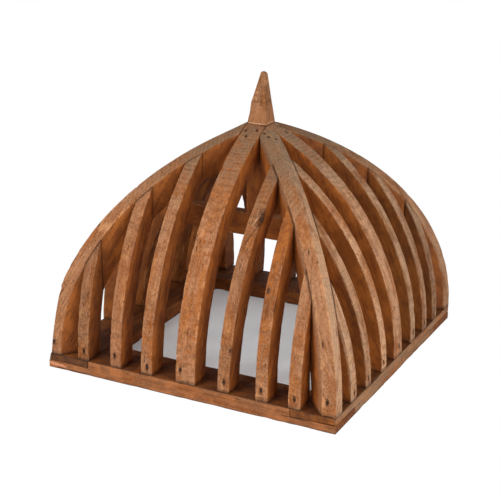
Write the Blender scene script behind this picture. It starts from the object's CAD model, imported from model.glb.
"""Looks of an old carpenter's model: the bare rib frame of a square pavilion dome, in reddish brown wood.

The frame gives every member's place and shape. Each member is stood for here by a worn copy of its own mesh: its
arrises are rounded and nicked, its faces are a little uneven, and the nails at its foot sit in gouges. The finish is
old sawn wood, worked out in each board's own coordinates, so that grain, saw marks, patina and edge wear follow it.
Lengths are in millimetres unless a name or a docstring says metres.
"""

import logging
import math
import random
import zlib
from collections.abc import Callable, Iterable, Sequence
from dataclasses import dataclass, field
from enum import Enum

import bmesh
import bpy
from mathutils import Matrix, Vector, noise


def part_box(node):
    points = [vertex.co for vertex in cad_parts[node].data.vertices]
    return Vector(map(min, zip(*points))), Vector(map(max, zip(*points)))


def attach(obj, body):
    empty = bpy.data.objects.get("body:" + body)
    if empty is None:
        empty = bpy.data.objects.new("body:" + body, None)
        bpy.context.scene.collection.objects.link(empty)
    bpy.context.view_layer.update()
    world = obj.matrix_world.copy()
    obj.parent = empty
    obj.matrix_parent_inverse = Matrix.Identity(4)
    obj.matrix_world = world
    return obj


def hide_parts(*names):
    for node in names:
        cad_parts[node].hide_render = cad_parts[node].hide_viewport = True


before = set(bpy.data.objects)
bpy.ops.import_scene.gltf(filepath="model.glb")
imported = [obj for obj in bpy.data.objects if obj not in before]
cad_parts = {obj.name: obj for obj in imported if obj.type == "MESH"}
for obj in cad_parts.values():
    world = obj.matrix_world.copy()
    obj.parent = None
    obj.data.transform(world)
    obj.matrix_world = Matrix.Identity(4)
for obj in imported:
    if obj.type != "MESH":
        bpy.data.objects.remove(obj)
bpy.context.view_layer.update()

logging.basicConfig(level=logging.INFO, format="%(name)s: %(message)s")
log = logging.getLogger("scene")

MM = 0.001
UP = Vector((0, 0, 1))
WHITE = (1.0, 1.0, 1.0, 1.0)


class Side(Enum):
    """The four sides of the dome, each with the way it faces and how grey the weather has left it."""

    FRONT = ("front", Vector((0, -1, 0)), 0.16)
    RIGHT = ("right", Vector((1, 0, 0)), 0.80)
    BACK = ("back", Vector((0, 1, 0)), 0.58)
    LEFT = ("left", Vector((-1, 0, 0)), 0.34)

    def __init__(self, label: str, facing: Vector, grey: float) -> None:
        """Keeps the side's name, its outward direction and its greyness from 0 to 1."""
        self.label = label
        self.facing = facing
        self.grey = grey


class Corner(Enum):
    """The four corners of the dome, each with the two sides that meet there."""

    FRONT_LEFT = ("front_left", Side.FRONT, Side.LEFT)
    FRONT_RIGHT = ("front_right", Side.FRONT, Side.RIGHT)
    BACK_RIGHT = ("back_right", Side.BACK, Side.RIGHT)
    BACK_LEFT = ("back_left", Side.BACK, Side.LEFT)

    def __init__(self, label: str, first: Side, second: Side) -> None:
        """Keeps the corner's name and its two sides."""
        self.label = label
        self.sides = (first, second)
        self.pointing = (first.facing + second.facing).normalized()


@dataclass(frozen=True)
class Dome:
    """The dome's driving sizes, measured from the frame where it shows them.

    Attributes:
        half: Half the outside length of a side.
        plate_t: Height of the plates' top, where the ribs stand.
        arch_r: Radius of the arch that common and jack ribs are sawn to.
        rib_d: Depth of a common or jack rib, square to its arch.
    """

    half: float
    plate_t: float
    arch_r: float
    rib_d: float = 36.0

    @classmethod
    def from_frame(cls) -> "Dome":
        """Works the sizes out from the boxes of a plate and of a common rib.

        Returns:
            The dome, whose arch passes through the plate's outer edge and the head of the rib.
        """
        _, plate_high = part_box("front_plate")
        rib_low, rib_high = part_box("right_common_rib")
        half = plate_high.x / MM
        run = half - rib_low.x / MM
        rise = (rib_high.z - plate_high.z) / MM
        return cls(half, plate_high.z / MM, (run * run + rise * rise) / (2 * run))

    @property
    def arch_x(self) -> float:
        """Distance of the arch's centre from the dome's middle, negative beyond it."""
        return self.half - self.arch_r

    def surface(self, height: float) -> float:
        """Distance of the dome's surface from its middle plane, at a height above the plates."""
        return self.arch_x + math.sqrt(self.arch_r**2 - height**2)


# ---- shader maths ----


def joined(operation: str, swapped: bool = False) -> Callable[["Num", "Scalar"], "Num"]:
    """Makes a method that works on two numbers.

    Args:
        operation: What its Math node does.
        swapped: True if the other number comes first.

    Returns:
        The method, for a Num.
    """

    def method(self: "Num", other: "Scalar") -> "Num":
        """Makes the Math node."""
        return self.shader.math(operation, other, self) if swapped else self.shader.math(operation, self, other)

    return method


class Num:
    """A number in a shader: a socket that Python's operators work on, and least and most, the lower and the higher."""

    def __init__(self, shader: "Shader", socket: bpy.types.NodeSocket) -> None:
        """Wraps a float socket of the shader's tree."""
        self.shader = shader
        self.socket = socket

    __add__ = joined("ADD")
    __radd__ = joined("ADD", swapped=True)
    __sub__ = joined("SUBTRACT")
    __rsub__ = joined("SUBTRACT", swapped=True)
    __mul__ = joined("MULTIPLY")
    __rmul__ = joined("MULTIPLY", swapped=True)
    __truediv__ = joined("DIVIDE")
    __pow__ = joined("POWER")
    least = joined("MINIMUM")
    most = joined("MAXIMUM")

    def __abs__(self) -> "Num":
        """Size without sign."""
        return self.shader.math("ABSOLUTE", self)

    def fraction(self) -> "Num":
        """What is left after the whole number."""
        return self.shader.math("FRACT", self)

    def ramp(self, low: float, high: float) -> "Num":
        """Rises smoothly from 0 at low to 1 at high, or falls if high is the lower one.

        Args:
            low: Value that gives 0.
            high: Value that gives 1.

        Returns:
            The smooth step.
        """
        return Num(
            self.shader,
            self.shader.node(
                "ShaderNodeMapRange",
                {"interpolation_type": "SMOOTHSTEP"},
                {"Value": self, "From Min": low, "From Max": high},
            ).outputs["Result"],
        )


Scalar = Num | float


class Vec:
    """A vector in a shader, in millimetres, made from a vector socket."""

    def __init__(self, shader: "Shader", socket: bpy.types.NodeSocket) -> None:
        """Wraps a vector socket of the shader's tree."""
        self.shader = shader
        self.socket = socket

    def along(self, axis: Vector) -> Num:
        """Length along an axis."""
        made = self.shader.node("ShaderNodeVectorMath", {"operation": "DOT_PRODUCT"}, {0: self, 1: tuple(axis)})
        return Num(self.shader, made.outputs["Value"])


Colour = tuple[float, float, float]


class Tree:
    """A node tree, which is empty at first."""

    def __init__(self, tree: bpy.types.NodeTree) -> None:
        """Empties the tree and keeps it."""
        self.tree = tree
        self.tree.nodes.clear()

    def node(self, kind: str, settings: dict[str, object], inputs: dict[str | int, object]) -> bpy.types.Node:
        """Makes one node, the only place where nodes are made.

        Args:
            kind: The node's type.
            settings: Its properties, by name.
            inputs: Its inputs by name or number: a Num, a Vec, a socket or a plain value.

        Returns:
            The node.
        """
        made = self.tree.nodes.new(kind)
        for name, value in settings.items():
            setattr(made, name, value)
        self.feed(made, inputs)
        return made

    def feed(self, node: bpy.types.Node, inputs: dict[str | int, object]) -> None:
        """Links or sets a node's inputs, which are given as they are for a new one."""
        for key, value in inputs.items():
            socket = value.socket if isinstance(value, (Num, Vec)) else value
            if isinstance(socket, bpy.types.NodeSocket):
                self.tree.links.new(socket, node.inputs[key])
            else:
                node.inputs[key].default_value = socket


class Shader(Tree):
    """One material's node tree, with a Principled shader at its end."""

    def __init__(self, name: str) -> None:
        """Makes an empty material whose surface is a Principled shader."""
        self.material = bpy.data.materials.new(name)
        self.material.use_nodes = True
        super().__init__(self.material.node_tree)
        self.surface = self.node("ShaderNodeBsdfPrincipled", {}, {})
        self.output = self.node("ShaderNodeOutputMaterial", {}, {"Surface": self.surface.outputs["BSDF"]})

    def math(self, operation: str, a: Scalar, b: Scalar | None = None) -> Num:
        """One Math node on one or two numbers."""
        inputs = {0: a} if b is None else {0: a, 1: b}
        return Num(self, self.node("ShaderNodeMath", {"operation": operation}, inputs).outputs["Value"])

    def point(self) -> Vec:
        """The surface point in the row frame, in millimetres."""
        place = self.node("ShaderNodeTexCoord", {}, {}).outputs["Object"]
        scaled = self.node("ShaderNodeVectorMath", {"operation": "SCALE"}, {0: place, "Scale": 1 / MM})
        return Vec(self, scaled.outputs["Vector"])

    def vector(self, x: Scalar, y: Scalar, z: Scalar) -> Vec:
        """Joins three numbers."""
        return Vec(self, self.node("ShaderNodeCombineXYZ", {}, {"X": x, "Y": y, "Z": z}).outputs["Vector"])

    def cloud(self, place: Vec, detail: float, roughness: float = 0.55) -> Num:
        """Soft noise from 0 to 1, about one lump per unit of place."""
        inputs = {"Vector": place, "Scale": 1.0, "Detail": detail, "Roughness": roughness}
        return Num(self, self.node("ShaderNodeTexNoise", {}, inputs).outputs["Fac"])

    def mix(self, amount: Scalar, below: object, above: object, blend: str = "MIX") -> bpy.types.NodeSocket:
        """Lays one colour over another.

        Args:
            amount: How much of the upper colour shows, from 0 to 1.
            below: The lower colour, as a socket or as red, green and blue.
            above: The upper colour, in the same way.
            blend: The way they are blended.

        Returns:
            The colour's socket.
        """
        full = [c if isinstance(c, bpy.types.NodeSocket) else (*c, 1.0) for c in (below, above)]
        settings = {"data_type": "RGBA", "blend_type": blend, "clamp_factor": True}
        made = self.node("ShaderNodeMix", settings, {"Factor": amount, 6: full[0], 7: full[1]})
        return made.outputs[2]


# ---- where a surface point lies on its board ----


@dataclass
class Fields:
    """Where a surface point lies on its board, in shader numbers.

    Attributes:
        point: The point itself, in the row frame.
        along: Way along the grain.
        across: Way across the board's thickness, from its middle.
        through: Way through the board's depth.
        arris: Distance to the nearest long edge.
        skin: Depth below the weathered outer face.
        foot: Height above the joint at the foot.
        grey: How grey the weathered face has gone, from 0 to 1.
        air: How open the place is to light and hands, from 0 to 1.
        dust: How much dust has settled there, from 0 to 1.
    """

    point: Vec
    along: Num
    across: Num
    through: Num
    arris: Num
    skin: Num
    foot: Num
    grey: Scalar
    air: Scalar
    dust: Scalar


@dataclass(frozen=True)
class Axes:
    """A board's own directions and its place, measured from its node.

    Attributes:
        thickness: Unit direction square to the board's two cheeks.
        outward: Unit direction from the dome's middle to the board's back, square to the thickness.
        upright: Unit direction up the board, square to the other two.
        middle: Place of the board's middle plane along the thickness.
        board_w: Distance between the cheeks.
    """

    thickness: Vector
    outward: Vector
    upright: Vector
    middle: float
    board_w: float

    @classmethod
    def measure(cls, node: str, outward: Vector) -> "Axes":
        """Finds the cheeks of an upright board from the faces of its node.

        Args:
            node: The CAD node.
            outward: The level direction that the board's back faces.

        Returns:
            The board's axes, which lean with it.
        """
        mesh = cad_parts[node].data
        level = UP.cross(outward)
        normal = Vector()
        for face in mesh.polygons:
            if face.normal.dot(level) > 0.95:
                normal += face.normal * face.area
        thickness = normal.normalized()
        places = [v.co.dot(thickness) / MM for v in mesh.vertices]
        low, high = min(places), max(places)
        return cls(thickness, outward, outward.cross(thickness), (low + high) / 2, high - low)


@dataclass(frozen=True)
class Plane:
    """One flat face of a piece.

    Attributes:
        normal: The way it faces.
        place: Its distance from the origin along the normal.
        dust: How much dust has settled on it, from 0 to 1.
        weathered: True if it is an outer face, that light and hands have reached.
    """

    normal: Vector
    place: float
    dust: float = 0.0
    weathered: bool = False


class BoardField:
    """Gives a board's shader fields, and the directions that its wear and nails need."""

    def __init__(self, axes: Axes, grain: Vector, greyness: float) -> None:
        """Keeps the board's axes, its grain as a unit direction square to the thickness, and its greyness."""
        self.axes = axes
        self.grain = grain
        self.greyness = greyness
        self.through = axes.thickness.cross(grain)

    def skin(self, shader: Shader, point: Vec) -> Num:
        """Depth below the weathered face."""
        raise NotImplementedError

    def edge(self, point: Vec, skin: Num, across: Num) -> Num:
        """Distance to the nearest long edge."""
        raise NotImplementedError

    def grey(self, point: Vec) -> Scalar:
        """How grey a point of the weathered face has gone."""
        return self.greyness

    def air(self, point: Vec) -> Scalar:
        """How open a point is to light and hands."""
        return 1.0

    def dust(self, point: Vec) -> Scalar:
        """How much dust has settled at a point."""
        return 0.0

    def fields(self, shader: Shader, point: Vec, floor_z: float) -> Fields:
        """Works out all of a point's fields.

        Args:
            shader: The material's shader.
            point: The surface point.
            floor_z: Height of the joint that the board stands on.

        Returns:
            The fields.
        """
        across = point.along(self.axes.thickness) - self.axes.middle
        skin = self.skin(shader, point)
        return Fields(
            point=point,
            along=point.along(self.grain),
            across=across,
            through=point.along(self.through),
            arris=self.edge(point, skin, across),
            skin=skin,
            foot=point.along(UP) - floor_z,
            grey=self.grey(point),
            air=self.air(point),
            dust=self.dust(point),
        )


class ArchField(BoardField):
    """The field of a common or jack rib, whose back is sawn to the dome's arch."""

    CHORD = 0.42

    def __init__(self, dome: Dome, axes: Axes, depth: float, greyness: float, head: Plane | None = None) -> None:
        """Sets up the field, with the grain up the rib's chord.

        Args:
            dome: The dome's sizes.
            axes: The rib's axes.
            depth: The rib's depth.
            greyness: How grey its back has gone, from 0 to 1.
            head: The plane of its head, if it leans on a hip.
        """
        self.dome = dome
        self.depth = depth
        self.head = head
        super().__init__(axes, (axes.upright - axes.outward * self.CHORD).normalized(), greyness)

    def skin(self, shader: Shader, point: Vec) -> Num:
        """Depth below the arch, measured along its radius."""
        run = point.along(self.axes.outward) - self.dome.arch_x
        rise = point.along(self.axes.upright) - self.dome.plate_t
        return self.dome.arch_r - shader.math("SQRT", run * run + rise * rise)

    def edge(self, point: Vec, skin: Num, across: Num) -> Num:
        """The larger of the distances to a cheek and to the back or belly."""
        to_back = skin.least(self.depth - skin)
        to_cheek = self.axes.board_w / 2 - abs(across)
        return to_back.most(to_cheek)

    def dust(self, point: Vec) -> Scalar:
        """The dust in the joint between the head and the hip."""
        if self.head is None:
            return 0.0
        return (self.head.place - point.along(self.head.normal)).ramp(4.0, 0.6) * self.head.dust


class HipField(BoardField):
    """The field of a hip rib, whose back is bevelled to the two sides that it joins."""

    CHORD = 0.60
    SEAM_DUST = 0.6

    def __init__(self, dome: Dome, axes: Axes, corner: Corner, nose: float, bleached: float) -> None:
        """Sets up the field, with the grain up the hip's chord.

        Args:
            dome: The dome's sizes.
            axes: The hip's axes.
            corner: Its corner.
            nose: Distance from the dome's middle planes at which its nose meets the common ribs.
            bleached: How much greyer its second bevel is than its side of the dome.
        """
        self.dome = dome
        self.corner = corner
        self.nose = nose
        self.bleached = bleached
        super().__init__(axes, (axes.upright - axes.outward * self.CHORD).normalized(), 0.0)
        self.depths: tuple[Num, Num] | None = None

    def skin(self, shader: Shader, point: Vec) -> Num:
        """Depth below the nearer of the two sides of the dome."""
        rise = point.along(UP) - self.dome.plate_t
        depths = []
        for side in self.corner.sides:
            run = point.along(side.facing) - self.dome.arch_x
            depths.append(self.dome.arch_r - shader.math("SQRT", run * run + rise * rise))
        self.depths = (depths[0], depths[1])
        return depths[0].least(depths[1])

    def edge(self, point: Vec, skin: Num, across: Num) -> Num:
        """Distance to the ridge between the bevels, or to the arrises below them."""
        to_cheek = self.axes.board_w / 2 - abs(across)
        to_ridge = self.depths[0].most(self.depths[1])
        return skin.most(to_cheek).least(to_ridge)

    def grey(self, point: Vec) -> Scalar:
        """Each bevel has the greyness of its own side."""
        first, second = (side.grey for side in self.corner.sides)
        return (self.depths[0] - self.depths[1]).ramp(-0.8, 0.8) * (second + self.bleached - first) + first

    def dust(self, point: Vec) -> Scalar:
        """The dust in the joints between the nose and the two common ribs."""
        nearest = point.along(self.corner.sides[0].facing).least(point.along(self.corner.sides[1].facing))
        return (nearest - self.nose).ramp(2.2, 0.3) * self.SEAM_DUST


class FlatField(BoardField):
    """The field of a piece with flat faces, whose edges lie where two of its planes meet."""

    def __init__(
        self, axes: Axes, grain: Vector, planes: Sequence[Plane], greyness: float, roof: float | None = None
    ) -> None:
        """Keeps the piece's planes, and the height up to which it stands under a roof of ribs."""
        super().__init__(axes, grain, greyness)
        self.planes = planes
        self.roof = roof

    def skin(self, shader: Shader, point: Vec) -> Num:
        """Depth below the nearest weathered plane."""
        depths = [plane.place - point.along(plane.normal) for plane in self.planes if plane.weathered]
        nearest = depths[0]
        for depth in depths[1:]:
            nearest = nearest.least(depth)
        return nearest

    def edge(self, point: Vec, skin: Num, across: Num) -> Num:
        """The second smallest of the depths below the planes."""
        depths = [plane.place - point.along(plane.normal) for plane in self.planes]
        first, second = depths[0].least(depths[1]), depths[0].most(depths[1])
        for depth in depths[2:]:
            second = second.least(first.most(depth))
            first = first.least(depth)
        return second

    def air(self, point: Vec) -> Scalar:
        """Open above the roof, and closed below it."""
        return 1.0 if self.roof is None else point.along(UP).ramp(self.roof - 3, self.roof + 1)

    def dust(self, point: Vec) -> Scalar:
        """The dust of the plane that the point is on."""
        total: Scalar = 0.0
        for plane in self.planes:
            if plane.dust:
                total = (plane.place - point.along(plane.normal)).ramp(1.6, 0.4) * plane.dust + total
        return total


@dataclass(frozen=True)
class Hollow:
    """An ellipsoid in the row frame: a pit that is cut out of a board, or the place of a stain on it.

    Attributes:
        middle: Its middle, in millimetres.
        out: Unit direction out of the board.
        long: Unit direction of its length, square to the way out.
        radii: Half its width, half its length and its depth.
    """

    middle: Vector
    out: Vector
    long: Vector
    radii: tuple[float, float, float]

    @property
    def axes(self) -> tuple[Vector, Vector, Vector]:
        """Unit directions of its width, its length and its depth."""
        return (self.long.cross(self.out), self.long, self.out)

    @property
    def placing(self) -> Matrix:
        """The matrix that makes it, in metres, from a ball with a radius of 1."""
        turn = Matrix(self.axes).transposed().to_4x4()
        return Matrix.Translation(self.middle * MM) @ turn @ (Matrix.Diagonal((*self.radii, 1 / MM)) * MM)

    def offset(self, point: Vec) -> Num:
        """Squared distance of a point from the middle, which is 1 on the surface."""
        parts = []
        for axis, radius in zip(self.axes, self.radii):
            parts.append((point.along(axis / radius) - self.middle.dot(axis) / radius) ** 2)
        return parts[0] + parts[1] + parts[2]


# ---- finishes ----


@dataclass(frozen=True)
class Knot:
    """A knot that runs through a board, square to its back.

    Attributes:
        along: Its place along the grain.
        across: Its place across the board.
        radius: Radius of its dark heart.
    """

    along: float
    across: float
    radius: float


@dataclass(frozen=True)
class Stain:
    """A stained or bare place on a board.

    Attributes:
        where: The hollow that it fills.
        colour: Its colour.
        amount: How much of the colour shows, from 0 to 1.
    """

    where: Hollow
    colour: Colour
    amount: float = 0.9


@dataclass
class Figure:
    """The patterns of one board, in shader numbers.

    Attributes:
        patch: Big soft patches.
        blotch: Smaller soft patches.
        streak: Broad streaks along the grain.
        fibre: Fine streaks along the grain.
        specks: Pores and specks.
        dents: Dents and bruises.
        ticks: Saw marks across the grain.
        cracks: Thin cracks along the grain.
        line: Growth lines.
        gnarl: How near a knot is, from 0 to 1.
        knot: The dark hearts of knots.
        crown: How near the dome's top is, from 0 to 1, in patches.
    """

    patch: Num
    blotch: Num
    streak: Num
    fibre: Num
    specks: Num
    dents: Num
    ticks: Num
    cracks: Num
    line: Num
    gnarl: Scalar
    knot: Scalar
    crown: Num


@dataclass(frozen=True)
class OldWood:
    """Old sawn wood, orange inside, tan and grey where light and hands have reached it.

    Attributes:
        heart: Colour of the sheltered faces.
        glow: Colour of their brighter patches.
        streak: Colour of their growth lines and pores.
        tan: Colour of the weathered faces.
        soot: Colour of the dark specks in them.
        ash: Colour that they go where they are greyest.
        crown: Colour that they go near the top of the dome.
        worn: Colour of rubbed arrises and scuffs.
        dirt: Colour of grime in joints, cracks and nail holes.
        resin: Colour of the hearts of knots.
        ring: Distance between growth lines.
        saw_pitch: Distance between saw marks.
        saw_depth: Depth of the saw marks.
        sawn: How dark the saw marks are, from 0 to 1.
        scuffed: How much of the weathered face is scuffed bare, from 0 to 1.
        blotted: How dark its blots are, from 0 to 1.
        grime_h: Height of the grime above a joint.
        grime: How thick it is.
        gloss: How much the wood shines.
        tone_spread: How much lighter or darker than the others a board can be by chance.
        warm_spread: How much warmer or colder.
        usual_reach: The least and the greatest depth on the cheeks to which the weathering goes by chance.
    """

    heart: Colour = (0.250, 0.066, 0.0080)
    glow: Colour = (0.420, 0.122, 0.016)
    streak: Colour = (0.085, 0.020, 0.003)
    tan: Colour = (0.318, 0.113, 0.038)
    soot: Colour = (0.095, 0.030, 0.007)
    ash: Colour = (0.620, 0.360, 0.205)
    crown: Colour = (0.205, 0.127, 0.071)
    worn: Colour = (0.640, 0.300, 0.125)
    dirt: Colour = (0.026, 0.011, 0.005)
    resin: Colour = (0.045, 0.016, 0.006)
    ring: float = 3.6
    saw_pitch: float = 2.7
    saw_depth: float = 0.25
    sawn: float = 0.30
    scuffed: float = 0.2
    blotted: float = 0.55
    grime_h: float = 8.0
    grime: float = 0.8
    gloss: float = 0.28
    tone_spread: float = 0.13
    warm_spread: float = 0.04
    usual_reach: tuple[float, float] = (1.6, 4.2)

    def dress(
        self,
        name: str,
        board: BoardField,
        floor_z: float,
        knots: Iterable[Knot] = (),
        stains: Iterable[Stain] = (),
        tone: float | None = None,
        reach: float | None = None,
    ) -> bpy.types.Material:
        """Makes the material of one board.

        Args:
            name: The board's node name, which also seeds its own figure and tone.
            board: The board's field.
            floor_z: Height of the joint that the board stands on.
            knots: The board's knots.
            stains: The stained and bare places on it, the later ones on top.
            tone: How much lighter it is than other boards, or None to leave that to chance.
            reach: How far down its cheeks the weathering goes, or None to leave that to chance.

        Returns:
            The material.
        """
        chance = random.Random(zlib.crc32(name.encode()))
        shader = Shader("wood_" + name)
        at = board.fields(shader, shader.point(), floor_z)
        own = self.figure(shader, at, chance, knots)

        # the weathered skin turns the arris and fades out on the cheek, unevenly
        usual = chance.uniform(*self.usual_reach)
        reach = usual if reach is None else reach
        skin = (at.skin + (own.dents - 0.5) * 7).ramp(reach, reach * 0.25) * at.air
        colour = shader.mix(skin, self.sheltered(shader, own), self.weathered(shader, at, own))
        colour = self.marked(shader, at, own, colour, stains)
        tone = chance.uniform(-self.tone_spread, self.tone_spread) if tone is None else tone
        warm = chance.uniform(-self.warm_spread, self.warm_spread)
        colour = shader.mix(1.0, colour, (1 + tone + warm, 1 + tone, 1 + tone - warm), "MULTIPLY")

        bump = shader.node("ShaderNodeBump", {}, {"Height": self.relief(own), "Distance": MM, "Strength": 1.0})
        rough = 0.86 - (1 - skin) * 0.16 + own.specks.ramp(0.5, 0.7) * 0.08
        shader.feed(
            shader.surface,
            {
                "Base Color": colour,
                "Normal": bump.outputs["Normal"],
                "Roughness": rough,
                "Specular IOR Level": self.gloss,
            },
        )
        return shader.material

    def figure(self, shader: Shader, at: Fields, chance: random.Random, knots: Iterable[Knot]) -> Figure:
        """Works out a board's patterns.

        Args:
            shader: The material's shader.
            at: The board's fields.
            chance: The board's own chance.
            knots: The board's knots.

        Returns:
            The patterns.
        """
        start = [chance.uniform(-400, 400) for _ in range(3)]
        along = at.along + start[0]
        across = at.across + at.along * chance.uniform(-0.03, 0.03) + start[1]
        through = at.through + at.along * chance.uniform(-0.03, 0.03) + start[2]

        def cloud(long: float, wide: float, detail: float, roughness: float = 0.55) -> Num:
            """Noise whose lumps are long by wide millimetres."""
            return shader.cloud(shader.vector(along / long, across / wide, through / wide), detail, roughness)

        patch = cloud(85, 26, 3, 0.6)
        fibre = cloud(38, 1.5, 3, 0.7)
        saw = shader.vector(along / self.saw_pitch, across / 30 + patch * 2, through / 30)

        # growth lines round a pith that lies beside the board, bent aside by its knots
        pith = shader.math("SQRT", (at.across * at.across) + (at.through + chance.uniform(30, 80)) ** 2 * 0.8)
        turn = pith / self.ring + cloud(240, 60, 1) * 4 + fibre * 0.6 + chance.uniform(0, 9)
        dark: Scalar = 0.0
        gnarl: Scalar = 0.0
        for knot in knots:
            up = (at.along - knot.along) / (knot.radius * 1.7)
            aside = (at.across - knot.across) / knot.radius
            reach = shader.math("SQRT", up**2 + aside**2)
            turn = turn + reach.ramp(3.4, 0.6) * (reach * 1.3 - 3)
            dark = (reach + (fibre - 0.5) * 1.2).ramp(1.2, 0.5) * at.skin.ramp(8.0, 3.0) * 0.85 + dark
            gnarl = reach.ramp(4.2, 1.2) + gnarl
        cycle = turn.fraction()
        blotch = cloud(26, 13, 3, 0.6)
        return Figure(
            patch=patch,
            blotch=blotch,
            streak=cloud(150, 5, 2, 0.5),
            fibre=fibre,
            specks=cloud(3.0, 1.9, 3, 0.75),
            dents=cloud(7, 5, 3, 0.6),
            ticks=shader.cloud(saw, 2, 0.6),
            cracks=cloud(90, 2.4, 1, 0.4).ramp(0.715, 0.750),
            line=cycle.ramp(0.25, 0.90) * cycle.ramp(1.0, 0.92),
            gnarl=gnarl,
            knot=dark,
            crown=(at.foot + (blotch - 0.5) * 190).ramp(235, 335),
        )

    def sheltered(self, shader: Shader, own: Figure) -> bpy.types.NodeSocket:
        """Colour of the faces that light has not reached: orange, softly blotched, with a few dark streaks."""
        colour = shader.mix((own.blotch * 0.6 + own.patch * 0.4).ramp(0.40, 0.62), self.heart, self.glow)
        dark = own.streak.ramp(0.52, 0.72) * 0.36 + own.fibre.ramp(0.48, 0.70) * 0.32 + own.line * 0.20
        colour = shader.mix(dark.least(0.8), colour, self.streak)
        return shader.mix(own.specks.ramp(0.54, 0.68) * 0.42, colour, self.streak)

    def weathered(self, shader: Shader, at: Fields, own: Figure) -> bpy.types.NodeSocket:
        """Colour of the outer faces: tan to grey, with saw marks, pores and specks.

        Args:
            shader: The material's shader.
            at: The board's fields.
            own: The board's patterns.

        Returns:
            The colour's socket.
        """
        ashen = (own.patch.ramp(0.68, 0.34) * (at.grey + 0.08) + (own.streak - 0.5) * 0.7).most(0.0)
        colour = shader.mix(own.patch.ramp(0.50, 0.68) * (0.55 - at.grey * 0.5), self.tan, self.glow)
        colour = shader.mix((ashen * 1.1).least(0.88), colour, self.ash)
        colour = shader.mix(own.specks.ramp(0.47, 0.36) * 0.30, colour, self.worn)
        colour = shader.mix(own.crown * (own.patch.ramp(0.60, 0.40) * 0.35 + 0.50), colour, self.crown)
        saw = own.ticks.ramp(0.49, 0.37) * own.blotch.ramp(0.36, 0.58) * self.sawn
        lines = own.line * (own.gnarl * 0.5 + 0.22)
        dark = saw + lines + own.fibre.ramp(0.50, 0.72) * 0.34
        colour = shader.mix(dark.least(0.8), colour, self.soot)
        return shader.mix(own.specks.ramp(0.53, 0.65) * 0.60, colour, self.soot)

    def marked(
        self, shader: Shader, at: Fields, own: Figure, colour: bpy.types.NodeSocket, stains: Iterable[Stain]
    ) -> bpy.types.NodeSocket:
        """Lays wear and dirt over a board's colour.

        Args:
            shader: The material's shader.
            at: The board's fields.
            own: The board's patterns.
            colour: The colour below.
            stains: The stained and bare places on the board.

        Returns:
            The colour's socket.
        """
        low = 1 - own.crown * 0.8
        rub = at.arris.ramp(3.2, 0.7) * (own.dents * 0.7 + own.blotch * 0.7).ramp(0.68, 0.90)
        colour = shader.mix(rub * low * 0.68, colour, self.worn)
        bare = (own.blotch * 0.7 + own.fibre * 0.3 + self.scuffed * 0.4).ramp(0.60, 0.76) * own.fibre.ramp(0.30, 0.56)
        colour = shader.mix(bare * at.skin.ramp(1.6, 0.4) * at.air * low * 0.62, colour, self.worn)
        blots = (own.blotch * 0.5 + own.dents * 0.5).ramp(0.42, 0.32)
        colour = shader.mix(blots * self.blotted, colour, self.soot)
        colour = shader.mix(own.cracks * 0.85, colour, self.dirt)
        grime = at.foot.ramp(self.grime_h, 0.3) * at.foot.ramp(-6, -1) * (own.dents + 0.35)
        colour = shader.mix((grime * self.grime).least(0.88), colour, self.dirt)
        colour = shader.mix(at.dust * (own.dents * 0.5 + 0.75), colour, self.dirt)
        colour = shader.mix(own.knot, colour, self.resin)
        for stain in stains:
            ragged = stain.where.offset(at.point) + (own.fibre - 0.5) * 2.6 + (own.dents - 0.5) * 2.2
            colour = shader.mix(ragged.ramp(1.5, 0.4) * stain.amount, colour, stain.colour)
        return colour

    def relief(self, own: Figure) -> Num:
        """Height of the surface in millimetres."""
        cut = own.ticks * own.patch.ramp(0.25, 0.60) * self.saw_depth
        pores = own.specks.ramp(0.52, 0.68) * 0.26
        return cut + own.fibre * 0.26 - pores - own.line * 0.08 - own.dents.ramp(0.58, 0.76) * 0.45 - own.cracks * 0.9


@dataclass(frozen=True)
class OldIron:
    """Rusty iron of the nails.

    Attributes:
        rust: Colour of the rust.
        dark: Colour of the iron where it shows.
        metallic: How metallic it still is, from 0 to 1.
    """

    rust: Colour = (0.085, 0.038, 0.020)
    dark: Colour = (0.020, 0.016, 0.014)
    metallic: float = 0.6

    def dress(self) -> bpy.types.Material:
        """Makes the nails' material."""
        shader = Shader("old_iron")
        scaled = shader.node("ShaderNodeVectorMath", {"operation": "SCALE"}, {0: shader.point(), "Scale": 0.9})
        crust = shader.cloud(Vec(shader, scaled.outputs["Vector"]), 4)
        colour = shader.mix(crust.ramp(0.40, 0.62), self.dark, self.rust)
        bump = shader.node("ShaderNodeBump", {}, {"Height": crust * 0.4, "Distance": MM})
        shader.feed(
            shader.surface,
            {
                "Base Color": colour,
                "Normal": bump.outputs["Normal"],
                "Roughness": 0.55 + crust * 0.35,
                "Metallic": self.metallic,
            },
        )
        return shader.material


# ---- worn copies of the members ----


@dataclass(frozen=True)
class Break:
    """A flat break that took a bit off a piece: everything beyond the plane is gone.

    Attributes:
        point: A point of the break.
        away: Direction of what broke off.
    """

    point: Vector
    away: Vector


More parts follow.
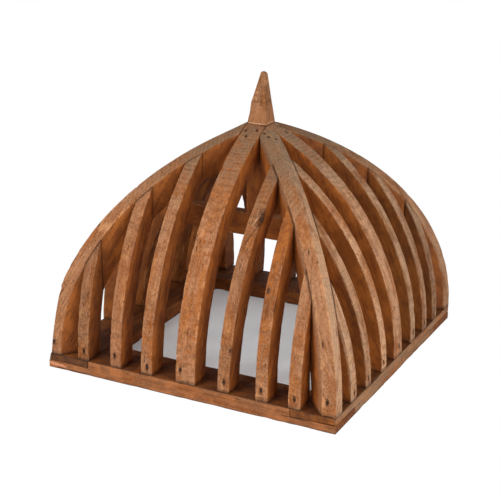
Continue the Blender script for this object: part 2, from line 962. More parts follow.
@dataclass(frozen=True)
class Seat:
    """Where a nail is driven in.

    Attributes:
        point: The point on the board's face, in millimetres.
        out: Unit direction out of the board.
        long: Unit direction along the gouge that the head lies in.
        size: Radius of the head.
    """

    point: Vector
    out: Vector
    long: Vector
    size: float

    def hollow(self, wide: float, tall: float, deep: float, long: Vector | None = None) -> Hollow:
        """The ellipsoid with these radii at the seat, which lies along the gouge or along another direction."""
        return Hollow(self.point, self.out, self.long if long is None else long, (wide, tall, deep))

    def gouge(self, chance: random.Random) -> Hollow:
        """The gouge that the head lies in."""
        return self.hollow(self.size * 1.15, self.size * chance.uniform(2.0, 2.9), self.size * 1.2)

    def stains(self, wide: float, tall: float, ring: Colour, core: Colour) -> list[Stain]:
        """The stain round the head.

        Args:
            wide: Half its width.
            tall: Half its length.
            ring: Its colour.
            core: Colour of the hole in its middle.

        Returns:
            The ring, and the hole on top of it.
        """
        return [
            Stain(self.hollow(wide, tall, 5.0), ring, 0.75),
            Stain(self.hollow(wide * 0.5, tall * 0.5, 5.0), core),
        ]


@dataclass(frozen=True)
class Wear:
    """How a member's copy is worn.

    Attributes:
        arris: Radius that its edges are rubbed to.
        nick: Depth of the nicks in its edges.
        uneven: Depth of the unevenness of its faces.
        step: Distance between the points where it is shaped.
    """

    arris: float = 1.1
    nick: float = 1.5
    uneven: float = 0.35
    step: float = 6.5


class WornCopy:
    """Makes the worn mesh that stands for one CAD node.

    SHARP is the least angle of an arris, FLAT the greatest between faces that are made one, and JOINED the distance in
    metres within which points are. WAVE, RUB and NICK are the lengths of waves on faces, rubbed bits and nicks.
    """

    SHARP = math.radians(30)
    FLAT = math.radians(0.4)
    JOINED = 1e-6
    WAVE, RUB, NICK = 38, 17, 6.5

    def __init__(
        self,
        node: str,
        length: Vector,
        wear: Wear,
        breaks: Iterable[Break] = (),
        seats: Iterable[Seat] = (),
        chips: Iterable[Hollow] = (),
    ) -> None:
        """Keeps what the copy is made from.

        Args:
            node: The CAD node.
            length: Unit direction of the member's length.
            wear: How it is worn.
            breaks: Bits that have broken off it.
            seats: Nails that are driven into it.
            chips: Splinters that have come off it.
        """
        self.node = node
        self.length = length
        self.wear = wear
        self.breaks = list(breaks)
        self.chance = random.Random(zlib.crc32(node.encode()) + 1)
        self.hollows = [seat.gouge(self.chance) for seat in seats] + list(chips)

    def build(self, material: bpy.types.Material, slot: str) -> bpy.types.Object:
        """Makes the copy, puts it in place of the node and gives it its finish.

        Args:
            material: The finish.
            slot: The record's material slot that it belongs to.

        Returns:
            The object.
        """
        body = bmesh.new()
        body.from_mesh(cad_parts[self.node].data)
        bmesh.ops.remove_doubles(body, verts=body.verts, dist=self.JOINED)
        bmesh.ops.dissolve_limit(body, angle_limit=self.FLAT, verts=body.verts, edges=body.edges)
        for cut in self.breaks:
            self.break_off(body, cut)
        arrises = [e for e in body.edges if e.is_manifold and e.calc_face_angle() > self.SHARP]
        bmesh.ops.bevel(
            body, geom=arrises, offset=self.wear.arris * MM, segments=2, profile=0.5, affect="EDGES", clamp_overlap=True
        )
        if self.hollows:
            body = self.hollow_out(body)
        self.slice(body)
        self.rub(body)
        mesh = bpy.data.meshes.new("worn_" + self.node)
        body.to_mesh(mesh)
        body.free()
        worn = placed("worn_" + self.node, mesh)
        mesh.materials.clear()
        mesh.materials.append(material)
        mesh.polygons.foreach_set("use_smooth", [True] * len(mesh.polygons))
        settle_normals(worn)
        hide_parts(self.node)
        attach(worn, "root")
        log.info("%s: %d faces", worn.name, len(worn.data.polygons))
        return worn

    def break_off(self, body: bmesh.types.BMesh, cut: Break) -> None:
        """Cuts off what lies beyond a break's plane and closes the cut."""
        geometry = [*body.verts, *body.edges, *body.faces]
        made = bmesh.ops.bisect_plane(
            body, geom=geometry, dist=1e-7, plane_co=cut.point * MM, plane_no=cut.away, clear_outer=True
        )
        rim = [e for e in made["geom_cut"] if isinstance(e, bmesh.types.BMEdge) and e.is_boundary]
        bmesh.ops.holes_fill(body, edges=rim, sides=0)
        bmesh.ops.recalc_face_normals(body, faces=body.faces)

    def hollow_out(self, body: bmesh.types.BMesh) -> bmesh.types.BMesh:
        """Cuts out the gouges of the nails and the chips, with one boolean cut.

        Args:
            body: The member's mesh, which is freed.

        Returns:
            The cut mesh.
        """
        cutter = bmesh.new()
        for hollow in self.hollows:
            ball = bmesh.ops.create_icosphere(cutter, subdivisions=2, radius=1.0)["verts"]
            for vertex in ball:
                vertex.co *= self.chance.uniform(0.72, 1.12)
            bmesh.ops.transform(cutter, matrix=hollow.placing, verts=ball)
        objects = []
        for name, mesh_data in (("body", body), ("cutter", cutter)):
            mesh = bpy.data.meshes.new(name)
            mesh_data.to_mesh(mesh)
            mesh_data.free()
            objects.append(placed(name, mesh))
        cut = objects[0].modifiers.new("cut", "BOOLEAN")
        cut.operation = "DIFFERENCE"
        cut.solver = "EXACT"
        cut.object = objects[1]
        result = evaluated_mesh(objects[0])
        carved = bmesh.new()
        carved.from_mesh(result)
        bpy.data.meshes.remove(result)
        for made in objects:
            mesh = made.data
            bpy.data.objects.remove(made)
            bpy.data.meshes.remove(mesh)
        return carved

    def slice(self, body: bmesh.types.BMesh) -> None:
        """Cuts the faces into short lengths, so that they can be shaped."""
        places = [v.co.dot(self.length) for v in body.verts]
        low, high = min(places), max(places)
        step = self.wear.step * MM
        place = low + step * self.chance.uniform(0.5, 1.0)
        while place < high - step * 0.3:
            geometry = [*body.verts, *body.edges, *body.faces]
            bmesh.ops.bisect_plane(body, geom=geometry, dist=1e-6, plane_co=self.length * place, plane_no=self.length)
            place += step * self.chance.uniform(0.65, 1.35)

    def rub(self, body: bmesh.types.BMesh) -> None:
        """Moves the points inwards: a little on the faces, and more where an arris is nicked."""
        body.normal_update()
        shift = Vector([self.chance.uniform(-50, 50) for _ in range(3)])
        moves = []
        for vertex in body.verts:
            near = [f.normal for f in vertex.link_faces]
            on_arris = any(near[0].dot(n) < 0.96 for n in near[1:])
            place = vertex.co / MM
            amount = self.wear.uneven * (0.5 + 0.5 * noise.noise(place / self.WAVE + shift))
            if on_arris:
                rub = max(0.0, noise.noise(place / self.RUB - shift)) * 0.5
                nick = max(0.0, noise.noise(place / self.NICK + shift * 2) - 0.42) * 3.2
                amount += self.wear.nick * (rub + min(nick, 1.0))
            moves.append(vertex.normal * (-amount * MM))
        for vertex, move in zip(body.verts, moves):
            vertex.co += move


def placed(name: str, data: bpy.types.ID) -> bpy.types.Object:
    """Makes an object from its data and puts it in the scene."""
    made = bpy.data.objects.new(name, data)
    bpy.context.scene.collection.objects.link(made)
    return made


def evaluated_mesh(made: bpy.types.Object) -> bpy.types.Mesh:
    """The mesh of an object with its modifiers worked out."""
    graph = bpy.context.evaluated_depsgraph_get()
    return bpy.data.meshes.new_from_object(made.evaluated_get(graph), preserve_all_data_layers=True, depsgraph=graph)


def settle_normals(made: bpy.types.Object) -> None:
    """Keeps flat faces flat under smooth shading, by weighing the normals by area."""
    weigh = made.modifiers.new("weigh", "WEIGHTED_NORMAL")
    weigh.weight = 80
    settled = evaluated_mesh(made)
    made.modifiers.clear()
    old = made.data
    made.data = settled
    bpy.data.meshes.remove(old)
    settled.name = made.name


# ---- the sub-assemblies ----


@dataclass
class PlateFrame:
    """The half-lapped square of plates.

    Attributes:
        dome: The dome's sizes.
        finish: The wood.
        wear: How the plates are worn.
        tones: How much lighter a plate is than the others, by side.
        slant: How far the top of the left plate's front end is worn in.
        slant_run: Length over which that slant dies out along the left plate.
        bare: The bare wood of the fresh split at the front plate's left end.
        top_dust: How much dust lies on the plates' tops.
        edge_dust: How much dirt is on their inner edges, undersides and ends.
        left_dust: How much dirt is on the left plate's ends.
    """

    dome: Dome
    finish: OldWood = field(
        default_factory=lambda: OldWood(
            tan=(0.285, 0.095, 0.029),
            ash=(0.460, 0.285, 0.155),
            worn=(0.560, 0.200, 0.061),
            ring=5.5,
            saw_pitch=4.0,
            saw_depth=0.3,
            sawn=0.14,
            scuffed=0.38,
            blotted=0.24,
            grime_h=3.0,
            grime=1.3,
        )
    )
    wear: Wear = field(default_factory=lambda: Wear(arris=1.3, nick=2.2, uneven=0.4, step=8))
    tones: dict[Side, float] = field(default_factory=lambda: {Side.FRONT: -0.09, Side.LEFT: 0.20, Side.RIGHT: -0.06})
    slant: float = 3.5
    slant_run: float = 35.0
    bare: Colour = (0.700, 0.300, 0.170)
    top_dust: float = 0.50
    edge_dust: float = 0.30
    left_dust: float = 0.75

    def build(self) -> None:
        """Builds the four plates."""
        for side in Side:
            name = side.label + "_plate"
            low, high = (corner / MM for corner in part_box(name))
            grain = UP.cross(side.facing)
            end_dust = self.left_dust if side is Side.LEFT else self.edge_dust
            inner = high if side.facing.x + side.facing.y < 0 else low
            outer = low if side.facing.x + side.facing.y < 0 else high
            planes = [
                Plane(side.facing, outer.dot(side.facing), weathered=True),
                Plane(UP, high.z, dust=self.top_dust),
                Plane(-side.facing, -inner.dot(side.facing), dust=self.edge_dust),
                Plane(-UP, -low.z, dust=self.edge_dust),
                Plane(grain, self.dome.half, dust=end_dust),
                Plane(-grain, self.dome.half, dust=end_dust),
            ]
            width = abs((high - low).dot(side.facing))
            axes = Axes(side.facing, UP, grain, (low + high).dot(side.facing) / 2, width)
            board = FlatField(axes, grain, planes, side.grey * 0.7)
            breaks = [self.slant_break()] if side is Side.LEFT else []
            stains = [self.split()] if side is Side.FRONT else []
            material = self.finish.dress(name, board, low.z, stains=stains, tone=self.tones.get(side))
            WornCopy(name, grain, self.wear, breaks).build(material, "plate_wood")

    def slant_break(self) -> Break:
        """The slant at the left plate's front end, which starts at the lap and is deepest at the top."""
        lap = self.dome.plate_t / 2
        corner = Vector((-self.dome.half, -self.dome.half, lap))
        to_top = Vector((self.slant, 0, lap))
        to_back = Vector((0, self.slant_run, lap))
        return Break(corner, to_top.cross(to_back).normalized())

    def split(self) -> Stain:
        """The bare wood of the split that runs from the front plate's left end, below the lap."""
        middle = Vector((16 - self.dome.half, -self.dome.half, 7.4))
        slanting = Vector((1, 0, -0.06)).normalized()
        return Stain(Hollow(middle, Side.FRONT.facing, slanting, (2.6, 19.0, 3.0)), self.bare)


@dataclass(frozen=True)
class Chip:
    """A splinter that has come off a rib's back.

    Attributes:
        height: Height of its middle above the plates.
        across: Its place across the rib.
        radii: Half its width, half its length and its depth.
        fresh: True if its wood is still bright.
    """

    height: float
    across: float
    radii: tuple[float, float, float]
    fresh: bool = False


@dataclass
class ArchRibs:
    """The common ribs and the jack ribs, which are sawn to the same arch.

    Attributes:
        dome: The dome's sizes.
        finish: The wood.
        wear: How the ribs are worn.
        nail_height: Usual height of a foot's nail above the plates.
        foot_nails: Other places of foot nails by node name, as heights above the plates and places across the rib.
        nail_size: Radius of a nail's head.
        rust: Colour of the wood round a foot's nail, and of old chips.
        splinter: Colour of a chip's splintered edge.
        torn: Rusty streaks of torn grain by a big chip, as distances from its edge and below its middle, half lengths
            in its own half length, and amounts.
        splintery: Its bright splintered edges, in the same way.
        knots: The knots that show by node name, as heights above the plates, places across the rib and radii.
        chips: The splinters that have come off, by node name.
        tones: How much lighter or darker a rib is than the others, by node name.
        apex_nails: Nails near the apex by node name, as distances from the dome's middle and across the rib.
    """

    dome: Dome
    finish: OldWood = field(default_factory=OldWood)
    wear: Wear = field(default_factory=Wear)
    nail_height: float = 12.0
    foot_nails: dict[str, tuple[float, float]] = field(
        default_factory=lambda: {
            "front_jack_rib_2": (20, -1.5),
            "front_jack_rib_3": (13, 1.2),
            "front_common_rib": (22, -8.5),
            "front_jack_rib_4": (18, 1.3),
            "front_jack_rib_5": (18, -0.8),
            "front_jack_rib_6": (16, 0.4),
            "right_jack_rib_1": (13, 0.7),
        }
    )
    nail_size: float = 2.1
    rust: Colour = (0.095, 0.036, 0.014)
    splinter: Colour = (0.480, 0.250, 0.135)
    torn: tuple[tuple[float, float, float, float], ...] = ((3.0, 24.0, 1.6, 0.62), (8.5, 34.0, 1.3, 0.50))
    splintery: tuple[tuple[float, float, float, float], ...] = ((0.5, 1.0, 1.0, 0.75), (4.2, 6.0, 0.6, 0.75))
    knots: dict[str, tuple[tuple[float, float, float], ...]] = field(
        default_factory=lambda: {
            "front_jack_rib_4": ((251, 8, 4.0), (69, 8, 2.4)),
            "front_jack_rib_5": ((163, -5, 3.5),),
        }
    )
    chips: dict[str, tuple[Chip, ...]] = field(
        default_factory=lambda: {
            "front_jack_rib_4": (Chip(251, 9.0, (4.6, 13.5, 6.0)), Chip(244, -10.5, (1.6, 4.0, 2.0), fresh=True)),
            "front_jack_rib_2": (Chip(255, 8.5, (2.4, 4.5, 2.0), fresh=True),),
        }
    )
    tones: dict[str, float] = field(
        default_factory=lambda: {
            "front_jack_rib_1": -0.24,
            "front_jack_rib_4": -0.10,
            "front_jack_rib_5": 0.06,
            "front_jack_rib_6": 0.08,
            "right_jack_rib_3": 0.18,
            "right_jack_rib_4": -0.06,
            "right_jack_rib_5": -0.14,
            "right_jack_rib_6": -0.30,
        }
    )
    apex_nails: dict[str, tuple[tuple[float, float], ...]] = field(
        default_factory=lambda: {
            "front_common_rib": ((32.2, -10.6), (44.3, -4.4), (29.0, 7.1)),
            "right_common_rib": ((28.5, 11.7), (42.2, 5.7)),
        }
    )

    def build(self) -> list[Seat]:
        """Builds all the ribs and returns where their nails are driven in."""
        seats: list[Seat] = []
        for side in Side:
            seats += self.rib(side, side.label + "_common_rib", "rib_wood")
            for number in range(1, 7):
                name = f"{side.label}_jack_rib_{number}"
                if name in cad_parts:
                    seats += self.rib(side, name, "rib_wood")
        return seats

    def rib(self, side: Side, name: str, slot: str) -> list[Seat]:
        """Builds one rib.

        Args:
            side: The side of the dome that it stands on.
            name: Its node.
            slot: Its material slot.

        Returns:
            Where its nails are driven in.
        """
        chance = random.Random(zlib.crc32(name.encode()) + 2)
        axes = Axes.measure(name, side.facing)
        board = ArchField(self.dome, axes, self.dome.rib_d, side.grey, self.head(name))
        height = self.nail_height * chance.uniform(0.75, 1.45)
        across = chance.uniform(-0.14, 0.14) * axes.board_w
        height, across = self.foot_nails.get(name, (height, across))
        seats = [self.seat(axes, height, across)]
        stains = seats[0].stains(chance.uniform(2.7, 3.5), chance.uniform(5.8, 7.6), self.rust, self.finish.dirt)
        for distance, place in self.apex_nails.get(name, ()):
            rise = math.sqrt(self.dome.arch_r**2 - (distance - self.dome.arch_x) ** 2)
            seats.append(self.seat(axes, rise, place, 0.75))
            stains += seats[-1].stains(2.8, 3.8, self.rust, self.finish.dirt)
        hollows = []
        for chip in self.chips.get(name, ()):
            hollow, marks = self.splintered(axes, chip)
            hollows.append(hollow)
            stains += marks
        knots = []
        for knot_height, place, radius in self.knots.get(name, ()):
            knots.append(Knot(self.seat(axes, knot_height, place).point.dot(board.grain), place, radius))
        material = self.finish.dress(name, board, self.dome.plate_t, knots, stains, self.tones.get(name))
        WornCopy(name, board.grain, self.wear, seats=seats, chips=hollows).build(material, slot)
        return seats

    def splintered(self, axes: Axes, chip: Chip) -> tuple[Hollow, list[Stain]]:
        """Works out the hollow that a chip has left, and its colours.

        Args:
            axes: The rib's axes.
            chip: The chip.

        Returns:
            The hollow, and the stains in it, on the torn grain below it and along its splintered edges.
        """
        spot = self.seat(axes, chip.height, chip.across)
        hollow = spot.hollow(*chip.radii)
        wide, tall, _ = chip.radii
        if chip.fresh:
            return hollow, [Stain(spot.hollow(wide * 1.1, tall, wide * 2), self.finish.worn, 0.8)]
        inward = -1 if chip.across > 0 else 1
        slanting = (spot.long + axes.thickness * inward * 0.36).normalized()
        marks = [
            Stain(spot.hollow(wide * 1.6, tall * 1.3, 6.0), self.rust, 0.40),
            Stain(spot.hollow(wide * 0.85, tall, 9.0), self.finish.dirt, 0.8),
        ]
        for streaks, colour in ((self.torn, self.rust), (self.splintery, self.splinter)):
            for aside, lower, length, amount in streaks:
                edge = self.seat(axes, chip.height - lower, chip.across + inward * (wide + aside))
                marks.append(Stain(edge.hollow(1.2, tall * length, 3.0, slanting), colour, amount))
        return hollow, marks

    def head(self, name: str) -> Plane | None:
        """The plane in which a jack rib's head leans on its hip, or None for a common rib.

        Args:
            name: The rib's node.

        Returns:
            The plane, with the dust that its joint has gathered.
        """
        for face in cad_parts[name].data.polygons:
            level = (abs(face.normal.x), abs(face.normal.y))
            if min(level) > 0.65 and abs(face.normal.z) < 0.1:
                return Plane(face.normal.copy(), face.normal.dot(face.center) / MM, dust=0.7)
        return None

    def seat(self, axes: Axes, height: float, across: float, scale: float = 1.0) -> Seat:
        """The seat of a nail on a rib's back.

        Args:
            axes: The rib's axes.
            height: Height of the nail above the plates.
            across: Its place across the rib.
            scale: Its size beside a foot nail's.

        Returns:
            The seat.
        """
        run = self.dome.surface(height)
        lean = axes.thickness * (axes.middle + across - self.dome.plate_t * axes.thickness.z)
        point = axes.outward * run + lean + axes.upright * height
        point.z = height * axes.upright.z + across * axes.thickness.z + self.dome.plate_t
        out = (axes.outward * (run - self.dome.arch_x) + axes.upright * height).normalized()
        return Seat(point, out, axes.thickness.cross(out).normalized(), self.nail_size * scale)


@dataclass
class HipRibs:
    """The four hip ribs.

    Attributes:
        dome: The dome's sizes.
        finish: The wood.
        wear: How the hips are worn.
        foot_nails: Each foot's nail by corner, as its height above the plates and its distance from the frame's end.
        nail_size: Radius of a nail's head.
        rust: Colour of the wood round a foot's nail.
        tones: How much lighter or darker a hip is than the other boards, by node name.
        reach: How far down its cheeks the weathering goes, by node name.
        bleached: How much greyer its second bevel is than its side of the dome, by node name.
        apex_nails: Nails near the apex by node name, as their side and their distances from the middle planes.
    """

    dome: Dome
    finish: OldWood = field(default_factory=lambda: OldWood(sawn=0.14, scuffed=0.25))
    wear: Wear = field(default_factory=lambda: Wear(arris=1.2, nick=1.8))
    foot_nails: dict[Corner, tuple[float, float]] = field(
        default_factory=lambda: {
            Corner.FRONT_LEFT: (20, 11),
            Corner.FRONT_RIGHT: (23, 15),
            Corner.BACK_RIGHT: (21, 14),
            Corner.BACK_LEFT: (18, 13),
        }
    )
    nail_size: float = 1.9
    rust: Colour = (0.095, 0.036, 0.014)
    tones: dict[str, float] = field(
        default_factory=lambda: {
            "front_right_hip_rib": 0.05,
            "front_left_hip_rib": -0.02,
            "back_right_hip_rib": -0.22,
        }
    )
    reach: dict[str, float] = field(default_factory=lambda: {"front_right_hip_rib": 17.0})
    bleached: dict[str, float] = field(default_factory=lambda: {"front_right_hip_rib": 0.8})
    apex_nails: dict[str, tuple[tuple[Side, float, float], ...]] = field(
        default_factory=lambda: {
            "front_right_hip_rib": (
                (Side.FRONT, 33.8, 22.0),
                (Side.FRONT, 39.5, 32.0),
                (Side.RIGHT, 44.4, -37.2),
            ),
        }
    )

    def build(self) -> list[Seat]:
        """Builds the hips and returns where their nails are driven in."""
        seats: list[Seat] = []
        for corner in Corner:
            name = corner.label + "_hip_rib"
            axes = Axes.measure(name, corner.pointing)
            low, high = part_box(name)
            nose = min(abs(low.x), abs(high.x)) / MM
            board = HipField(self.dome, axes, corner, nose, self.bleached.get(name, 0.0))
            own = [self.foot_seat(corner)]
            stains = own[0].stains(3.2, 6.4, self.rust, self.finish.dirt)
            for side, distance, place in self.apex_nails.get(name, ()):
                own.append(self.apex_seat(side, distance, place))
                stains += own[-1].stains(2.2, 3.6, self.rust, self.finish.dirt)
            if corner is Corner.FRONT_RIGHT:
                stains.append(self.slit())
            tone, reach = self.tones.get(name), self.reach.get(name)
            material = self.finish.dress(name, board, self.dome.plate_t, stains=stains, tone=tone, reach=reach)
            WornCopy(name, board.grain, self.wear, seats=own).build(material, "hip_wood")
            seats += own
        return seats

    def foot_seat(self, corner: Corner) -> Seat:
        """The nail in a hip's foot, on the bevel of its first side."""
        facing, other = corner.sides[0].facing, corner.sides[1].facing
        height, from_end = self.foot_nails[corner]
        point = facing * self.dome.surface(height) + other * (self.dome.half - from_end)
        point.z = height + self.dome.plate_t
        return Seat(point, facing, UP, self.nail_size)

    def slit(self) -> Stain:
        """The dark slit that slants up the right bevel of the front right hip's foot."""
        height, from_end = 24.0, 11.0
        facing = Side.RIGHT.facing
        point = facing * self.dome.surface(height) + Side.FRONT.facing * (self.dome.half - from_end)
        point.z = height + self.dome.plate_t
        return Stain(Hollow(point, facing, Vector((0, 0.3, 1)).normalized(), (0.8, 5.5, 3.0)), self.finish.dirt)

    def apex_seat(self, side: Side, distance: float, place: float) -> Seat:
        """A nail near the apex, on one side of the dome.

        Args:
            side: The side of the dome.
            distance: Distance from the dome's middle, the way that the side faces.
            place: Place along the side, in the row frame.

        Returns:
            The seat.
        """
        run = distance - self.dome.arch_x
        rise = math.sqrt(self.dome.arch_r**2 - run**2)
        level = Vector((abs(side.facing.y), abs(side.facing.x), 0))
        point = side.facing * distance + level * place + UP * (rise + self.dome.plate_t)
        out = (side.facing * run + UP * rise).normalized()
        return Seat(point, out, level, self.nail_size * 0.8)


@dataclass
class Centre:
    """The king post with its spire, and the tie that it stands on.

    Attributes:
        dome: The dome's sizes.
        spire_finish: The post's wood, with the grain upright.
        tie_finish: The tie's wood.
        wear: How the post and the tie are worn.
        tip_left: How much of the spire's flat tip is left beside the corner that broke off it.
        shoulder: Height above the roof up to which the spire's foot is paler, where the knife left a small step.
        pale: Colour of the spire's foot.
        rim: Colour of its lower edge.
    """

    dome: Dome
    spire_finish: OldWood = field(
        default_factory=lambda: OldWood(
            tan=(0.262, 0.096, 0.030),
            ring=4.2,
            saw_pitch=6.0,
            saw_depth=0.15,
            sawn=0.22,
            grime_h=0.8,
        )
    )
    tie_finish: OldWood = field(default_factory=OldWood)
    wear: Wear = field(default_factory=lambda: Wear(arris=1.0, nick=1.2, step=6))
    tip_left: float = 4.5
    shoulder: float = 34.0
    pale: Colour = (0.500, 0.215, 0.090)
    rim: Colour = (0.660, 0.350, 0.190)

    def build(self) -> None:
        """Builds the post and the tie."""
        low, high = (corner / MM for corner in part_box("king_post"))
        roof = self.dome.plate_t + math.sqrt(self.dome.arch_r**2 - (high.x - self.dome.arch_x) ** 2)
        axes = Axes(Vector((1, 0, 0)), Vector((0, -1, 0)), UP, 0.0, high.x - low.x)
        board = FlatField(axes, UP, self.planes("king_post"), 0.12, roof)
        material = self.spire_finish.dress("king_post", board, roof, stains=self.spire_stains(roof, high.x))
        tip = Break(Vector((self.tip_left, 0, high.z)), Vector((0.55, 0, 0.83)).normalized())
        arris = Vector((low.x * 0.80, low.y * 0.80, roof + self.shoulder + 3))
        step = Hollow(arris, (Side.FRONT.facing + Side.LEFT.facing).normalized(), UP, (2.2, 5.0, 2.2))
        WornCopy("king_post", UP, self.wear, [tip], chips=[step]).build(material, "spire_wood")

        low, high = (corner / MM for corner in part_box("tie_beam"))
        level = Vector((1, 0, 0))
        faces = [
            Plane(Vector((0, -1, 0)), -low.y),
            Plane(Vector((0, 1, 0)), high.y),
            Plane(UP, high.z, dust=0.15, weathered=True),
            Plane(-UP, -low.z),
        ]
        axes = Axes(Vector((0, 1, 0)), UP, level, 0.0, high.y - low.y)
        material = self.tie_finish.dress("tie_beam", FlatField(axes, level, faces, 0.2), 0.0)
        WornCopy("tie_beam", level, self.wear).build(material, "tie_wood")

    def spire_stains(self, roof: float, half: float) -> list[Stain]:
        """The spire's paler foot with its bright lower edge, and the dark line at its shoulder.

        Args:
            roof: Height of the top of the ribs.
            half: Half the post's width.

        Returns:
            The stains, on the front and right faces.
        """
        stains = []
        for side in (Side.FRONT, Side.RIGHT):
            level = UP.cross(side.facing)
            foot = side.facing * half + UP * (roof + self.shoulder * 0.38)
            rim = side.facing * half + UP * (roof + 1.4)
            line = side.facing * half * 0.85 + UP * (roof + self.shoulder + 2)
            stains.append(Stain(Hollow(foot, side.facing, UP, (half, self.shoulder * 0.5, 7.0)), self.pale, 0.38))
            stains.append(Stain(Hollow(rim, side.facing, level, (1.2, half * 1.05, 3.0)), self.rim, 0.7))
            stains.append(Stain(Hollow(line, side.facing, level, (2.4, half * 0.9, 5.0)), self.spire_finish.soot, 0.34))
        return stains

    def planes(self, node: str) -> list[Plane]:
        """The planes of a piece with flat faces, each one once, of which all but the level ones are weathered."""
        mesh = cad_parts[node].data
        found: list[Plane] = []
        for face in mesh.polygons:
            place = face.normal.dot(face.center) / MM
            if not any(p.normal.dot(face.normal) > 0.9995 and abs(p.place - place) < 0.5 for p in found):
                found.append(Plane(face.normal.copy(), place, weathered=abs(face.normal.z) < 0.95))
        return found


@dataclass
class Nails:
    """The nails, whose heads are set in the gouges by Geometry Nodes.

    Attributes:
        seats: Where they are driven in.
        finish: The iron.
        sunk: How far below the wood's face a head lies, in radii of the head.
        seed: Seed of their turns and tilts.
    """

    seats: list[Seat]
    finish: OldIron = field(default_factory=OldIron)
    sunk: float = 0.55
    seed: int = 7

    def build(self) -> bpy.types.Object:
        """Sets one head on every seat."""
        mesh = bpy.data.meshes.new("nail_seats")
        mesh.from_pydata([tuple(seat.point * MM) for seat in self.seats], [], [])
        facing = mesh.attributes.new("facing", "FLOAT_VECTOR", "POINT")
        facing.data.foreach_set("vector", [c for seat in self.seats for c in seat.out])
        size = mesh.attributes.new("size", "FLOAT", "POINT")
        size.data.foreach_set("value", [seat.size * MM for seat in self.seats])
        seats = placed("nail_seats", mesh)
        modifier = seats.modifiers.new("nails", "NODES")
        modifier.node_group = self.tree()
        values = {"Sunk": self.sunk, "Seed": self.seed, "Iron": self.finish.dress()}
        for item in modifier.node_group.interface.items_tree:
            if item.item_type == "SOCKET" and item.in_out == "INPUT" and item.name in values:
                modifier[item.identifier] = values[item.name]
        heads = placed("nail_heads", evaluated_mesh(seats))
        bpy.data.objects.remove(seats)
        bpy.data.meshes.remove(mesh)
        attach(heads, "root")
        log.info("nail_heads: %d nails, %d faces", len(self.seats), len(heads.data.polygons))
        return heads

    def tree(self) -> bpy.types.GeometryNodeTree:
        """The node tree that sets a hammered head on every seat.

        Returns:
            The tree, whose inputs are the seats, how far heads are sunk, the seed and the iron.
        """
        tree = bpy.data.node_groups.new("nails", "GeometryNodeTree")
        sockets = (("Seats", "Geometry"), ("Sunk", "Float"), ("Seed", "Int"), ("Iron", "Material"))
        for name, kind in sockets:
            tree.interface.new_socket(name, in_out="INPUT", socket_type="NodeSocket" + kind)
        tree.interface.new_socket("Heads", in_out="OUTPUT", socket_type="NodeSocketGeometry")
        node = Tree(tree).node

        given = node("NodeGroupInput", {}, {})
        cone = {"Vertices": 9, "Side Segments": 2, "Radius Top": 0.62, "Radius Bottom": 1.0, "Depth": 0.42}
        head = node("GeometryNodeMeshCone", {}, cone)
        size = node("GeometryNodeInputNamedAttribute", {"data_type": "FLOAT"}, {"Name": "size"}).outputs["Attribute"]
        out = node("GeometryNodeInputNamedAttribute", {"data_type": "FLOAT_VECTOR"}, {"Name": "facing"})
        drop = node("ShaderNodeMath", {"operation": "MULTIPLY"}, {0: size, 1: given.outputs["Sunk"]})
        back = node("ShaderNodeMath", {"operation": "MULTIPLY"}, {0: drop.outputs[0], 1: -1.0})
        shift = {0: out.outputs["Attribute"], "Scale": back.outputs[0]}
        offset = node("ShaderNodeVectorMath", {"operation": "SCALE"}, shift).outputs["Vector"]
        sunk = node("GeometryNodeSetPosition", {}, {"Geometry": given.outputs["Seats"], "Offset": offset})
        tilt = node(
            "FunctionNodeRandomValue",
            {"data_type": "FLOAT_VECTOR"},
            {"Min": (-0.22, -0.22, -0.22), "Max": (0.22, 0.22, 0.22), "Seed": given.outputs["Seed"]},
        )
        both = {0: out.outputs["Attribute"], 1: tilt.outputs["Value"]}
        leaning = node("ShaderNodeVectorMath", {"operation": "ADD"}, both)
        turn = node("FunctionNodeAlignRotationToVector", {"axis": "Z"}, {"Vector": leaning.outputs["Vector"]})
        heads = node(
            "GeometryNodeInstanceOnPoints",
            {},
            {
                "Points": sunk.outputs["Geometry"],
                "Instance": head.outputs["Mesh"],
                "Rotation": turn.outputs["Rotation"],
                "Scale": size,
            },
        )
        real = node("GeometryNodeRealizeInstances", {}, {"Geometry": heads.outputs["Instances"]})
        dressed = {"Geometry": real.outputs["Geometry"], "Material": given.outputs["Iron"]}
        iron = node("GeometryNodeSetMaterial", {}, dressed)
        node("NodeGroupOutput", {}, {"Heads": iron.outputs["Geometry"]})
        return tree


# ---- the picture ----


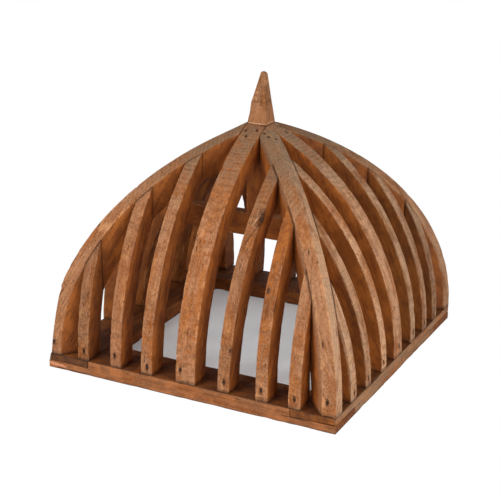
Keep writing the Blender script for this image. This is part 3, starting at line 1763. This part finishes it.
@dataclass(frozen=True)
class Studio:
    """Camera, lights, floor and backdrop of the picture, in metres.

    Attributes:
        eye: Where the camera stands.
        aim: The point that it looks at.
        lens: Its focal length in millimetres.
        roll: Its turn about its own axis, in degrees.
        key: Power of the big light at the left of the camera, in watts.
        key_place: Where it hangs.
        fill: Power of the light at its right.
        fill_place: Where that hangs.
        lamp_size: Length of each light's side.
        sky: Strength of the light from all round.
        card_size: Length of each side of the floor and the backdrop.
        shade: True colour of the paper.
        inside: Distance in millimetres from the dome's middle to under the plates, up to which its shade shows.
    """

    eye: Vector = Vector((0.9009, -1.8313, 0.8935))
    aim: Vector = Vector((-0.0138, -0.0068, 0.1629))
    lens: float = 94.93
    roll: float = 0.6835
    key: float = 54.0
    key_place: Vector = Vector((-1.1, -2.3, 1.7))
    fill: float = 43.0
    fill_place: Vector = Vector((2.4, -1.0, 1.3))
    lamp_size: float = 1.5
    sky: float = 0.34
    card_size: float = 6.0
    shade: Colour = (0.90, 0.92, 0.94)
    inside: float = 200.0

    def build(self) -> None:
        """Sets up the whole studio."""
        scene = bpy.context.scene
        scene.view_settings.view_transform = "Standard"
        self.camera()
        self.lamp("key", self.key_place, self.key)
        self.lamp("fill", self.fill_place, self.fill)
        scene.world = self.room()
        floor = self.card("floor", Matrix.Identity(4))
        upright = Matrix.Rotation(math.radians(90), 4, "X")
        wall = self.card("backdrop", Matrix.Translation((-1.0, 2.6, 0)) @ upright)
        paper = self.paper()
        for made in (floor, wall):
            made.data.materials.append(paper)

    def room(self) -> bpy.types.World:
        """The light from all round, which the camera sees as plain white."""
        world = bpy.data.worlds.new("room")
        world.use_nodes = True
        tree = Tree(world.node_tree)
        light = tree.node("ShaderNodeBackground", {}, {"Color": WHITE, "Strength": self.sky})
        white = tree.node("ShaderNodeBackground", {}, {"Color": WHITE, "Strength": 1.0})
        seen = tree.node("ShaderNodeLightPath", {}, {}).outputs["Is Camera Ray"]
        ends = {0: seen, 1: light.outputs["Background"], 2: white.outputs["Background"]}
        both = tree.node("ShaderNodeMixShader", {}, ends)
        tree.node("ShaderNodeOutputWorld", {}, {"Surface": both.outputs["Shader"]})
        return world

    def camera(self) -> None:
        """Puts the camera where the picture was taken from."""
        back = (self.eye - self.aim).normalized()
        right = UP.cross(back).normalized()
        up = back.cross(right)
        roll = math.radians(self.roll)
        turned = (right * math.cos(roll) + up * math.sin(roll), up * math.cos(roll) - right * math.sin(roll))
        data = bpy.data.cameras.new("camera")
        data.lens = self.lens
        data.sensor_width = 36.0
        place = Matrix((turned[0], turned[1], back)).transposed().to_4x4()
        place.translation = self.eye
        camera = placed("camera", data)
        camera.matrix_world = place
        bpy.context.scene.camera = camera

    def lamp(self, name: str, place: Vector, power: float) -> None:
        """Hangs one soft light that shines at the dome."""
        data = bpy.data.lights.new(name, "AREA")
        data.size = self.lamp_size
        data.energy = power
        made = placed(name, data)
        made.location = place
        made.rotation_mode = "QUATERNION"
        made.rotation_quaternion = (self.aim - place).to_track_quat("-Z", "Y")

    def card(self, name: str, place: Matrix) -> bpy.types.Object:
        """Makes one square sheet of the backdrop."""
        half = self.card_size / 2
        mesh = bpy.data.meshes.new(name)
        corners = [(-half, -half, 0), (half, -half, 0), (half, half, 0), (-half, half, 0)]
        mesh.from_pydata([tuple(place @ Vector(c)) for c in corners], [], [(0, 1, 2, 3)])
        return placed(name, mesh)

    def paper(self) -> bpy.types.Material:
        """White paper that the camera sees as plain white, and nearly in its true shade inside the plates."""
        shader = Shader("paper")
        shader.feed(shader.surface, {"Base Color": (*self.shade, 1.0), "Roughness": 1.0})
        point = shader.point()
        reach = abs(point.along(Vector((1, 0, 0)))).most(abs(point.along(Vector((0, 1, 0)))))
        glow = shader.node("ShaderNodeEmission", {}, {"Color": WHITE, "Strength": 1.0})
        seen = Num(shader, shader.node("ShaderNodeLightPath", {}, {}).outputs["Is Camera Ray"])
        plain = seen * (reach.ramp(self.inside, self.inside + 1) * 0.88 + 0.12)
        ends = {0: plain, 1: shader.surface.outputs["BSDF"], 2: glow.outputs["Emission"]}
        both = shader.node("ShaderNodeMixShader", {}, ends)
        shader.feed(shader.output, {"Surface": both.outputs["Shader"]})
        return shader.material


def main() -> None:
    """Dresses the whole model and sets up its picture."""
    dome = Dome.from_frame()
    log.info("dome: half %.2f, plate top %.2f, arch radius %.2f", dome.half, dome.plate_t, dome.arch_r)
    PlateFrame(dome).build()
    seats = HipRibs(dome).build()
    seats += ArchRibs(dome).build()
    Centre(dome).build()
    Nails(seats).build()
    Studio().build()


if __name__ == "__main__":
    main()
